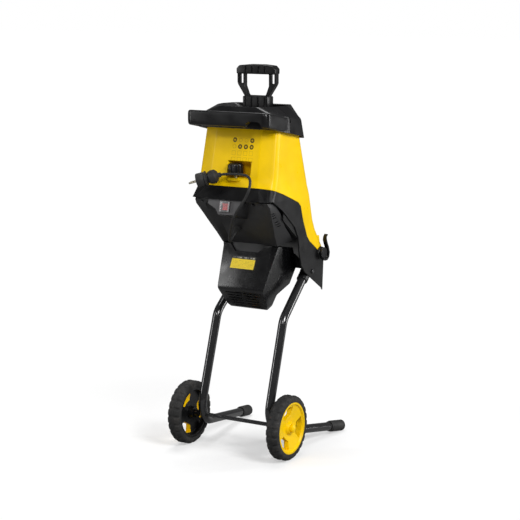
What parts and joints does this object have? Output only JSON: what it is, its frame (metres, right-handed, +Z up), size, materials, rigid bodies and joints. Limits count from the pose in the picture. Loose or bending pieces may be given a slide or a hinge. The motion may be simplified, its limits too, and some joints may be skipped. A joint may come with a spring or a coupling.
{
  "type": "wood chipper",
  "caption": "Electric garden wood chipper: tilting funnel hopper with pusher over a tilted motor and blade disc, on a wheeled bent-tube stand.",
  "frame": {"origin": "on the ground under the middle of the machine's outline, between the wheels and the two feet", "axes": "+Z up; -Y is the operator's side with the switch, the label and the wheels; +Y is the side where chips leave and the feet stand; +X is the operator's right"},
  "size_m": [0.329, 0.3744, 0.9525],
  "materials": {
    "frame_paint": "gloss black powder coat on steel tube",
    "black_rubber": "matte black rubber and soft PVC",
    "tyre_rubber": "solid black tyre with dusty tread",
    "black_plastic": "fine-grained black polypropylene",
    "gloss_black_plastic": "satin black moulded plastic",
    "yellow_plastic": "bright yellow moulded plastic, satin",
    "dark_grey_plastic": "spark-textured dark grey plastic",
    "grey_panel_plastic": "textured mid-grey plastic",
    "red_rocker": "glossy red",
    "clear_cover": "clear flexible dust cover",
    "label_yellow": "printed film label",
    "bright_steel": "ground steel",
    "grey_steel": "plain steel",
    "wound_copper": "varnished copper windings",
    "carbon": "pressed carbon",
    "zinc_steel": "bright zinc-plated steel",
    "black_zinc": "black-passivated zinc on steel screws",
    "nickel_brass": "nickel-plated brass"
  },
  "bodies": {
    "base": {"leg_tube_left": "frame_paint", "leg_tube_right": "frame_paint", "axle_rod": "frame_paint", "foot_cap_left": "black_rubber", "foot_cap_right": "black_rubber", "cord_boot": "black_rubber", "power_cord": "black_rubber", "plug_body": "black_rubber", "axle_sleeve_left": "black_plastic", "axle_sleeve_right": "black_plastic", "base_housing": "black_plastic", "rocker_frame": "black_plastic", "safety_switch": "black_plastic", "bag_hook_left": "black_plastic", "bag_hook_right": "black_plastic", "motor_cover": "gloss_black_plastic", "axle_cap_left": "yellow_plastic", "axle_cap_right": "yellow_plastic", "rear_panel": "dark_grey_plastic", "switch_panel": "grey_panel_plastic", "switch_cover": "clear_cover", "nameplate": "label_yellow", "bearing_lower": "bright_steel", "bearing_upper": "bright_steel", "motor_stator": "grey_steel", "carbon_brush_left": "carbon", "carbon_brush_right": "carbon", "leg_bolt_left": "black_zinc", "leg_bolt_right": "black_zinc", "panel_screw_left": "black_zinc", "panel_screw_right": "black_zinc", "hinge_pin_left": "zinc_steel", "hinge_pin_right": "zinc_steel", "plug_pin_left": "nickel_brass", "plug_pin_right": "nickel_brass"},
    "wheel_left": {"wheel_rim_left": "yellow_plastic", "wheel_tyre_left": "tyre_rubber"},
    "wheel_right": {"wheel_rim_right": "yellow_plastic", "wheel_tyre_right": "tyre_rubber"},
    "rotor": {"rotor_shaft": "bright_steel", "armature": "wound_copper", "cooling_fan": "dark_grey_plastic", "blade_disc": "grey_steel", "blade_a": "bright_steel", "blade_b": "bright_steel", "blade_screw_a1": "zinc_steel", "blade_screw_a2": "zinc_steel", "blade_screw_b1": "zinc_steel", "blade_screw_b2": "zinc_steel", "disc_nut": "zinc_steel"},
    "hopper": {"hopper_shell": "yellow_plastic", "hopper_funnel": "black_plastic"},
    "pusher": {"pusher_handle": "black_plastic", "pusher_plunger": "black_plastic"},
    "lock_travel": {"stud_washer": "zinc_steel"},
    "lock_knob": {"locking_knob": "black_plastic", "locking_stud": "zinc_steel"},
    "interlock": {"safety_plunger": "zinc_steel"},
    "rocker": {"rocker_button": "red_rocker"},
    "reset": {"reset_button": "black_plastic"}
  },
  "joints": [
    {"name": "left_wheel_spin", "type": "hinge", "parent": "base", "child": "wheel_left", "pos_m": [-0.141, -0.1072, 0.08], "axis": [1, 0, 0], "continuous": true},
    {"name": "right_wheel_spin", "type": "hinge", "parent": "base", "child": "wheel_right", "pos_m": [0.141, -0.1072, 0.08], "axis": [1, 0, 0], "continuous": true},
    {"name": "rotor_spin", "type": "hinge", "parent": "base", "child": "rotor", "pos_m": [0, 0.0357, 0.5216], "axis": [0, 0.5878, 0.809], "continuous": true},
    {"name": "hopper_hinge", "type": "hinge", "parent": "base", "child": "hopper", "pos_m": [0, 0.1208, 0.476], "axis": [-1, 0, 0], "range_deg": [0, 40]},
    {"name": "pusher_slide", "type": "slide", "parent": "hopper", "child": "pusher", "axis": [0, 0, 1], "range_m": [0, 0.17]},
    {"name": "lock_lift", "type": "slide", "parent": "hopper", "child": "lock_travel", "axis": [0, 0, 1], "range_m": [0, 0.005]},
    {"name": "lock_turn", "type": "hinge", "parent": "lock_travel", "child": "lock_knob", "pos_m": [0, -0.1102, 0.693], "axis": [0, 0, 1], "range_deg": [0, 1300]},
    {"name": "interlock_slide", "type": "slide", "parent": "base", "child": "interlock", "axis": [0, 0, 1], "range_m": [0, 0.003]},
    {"name": "rocker_tilt", "type": "hinge", "parent": "base", "child": "rocker", "pos_m": [-0.0066, -0.14386, 0.61692], "axis": [1, 0, 0], "range_deg": [-8, 8]},
    {"name": "reset_press", "type": "slide", "parent": "base", "child": "reset", "axis": [0, 0.79, 0.6131], "range_m": [0, 0.002]}
  ],
  "couplings": [
    {"joint": "lock_turn", "follows": "lock_lift", "rad_per_m": 4188.8},
    {"joint": "interlock_slide", "follows": "lock_lift", "ratio": 0.5}
  ]
}
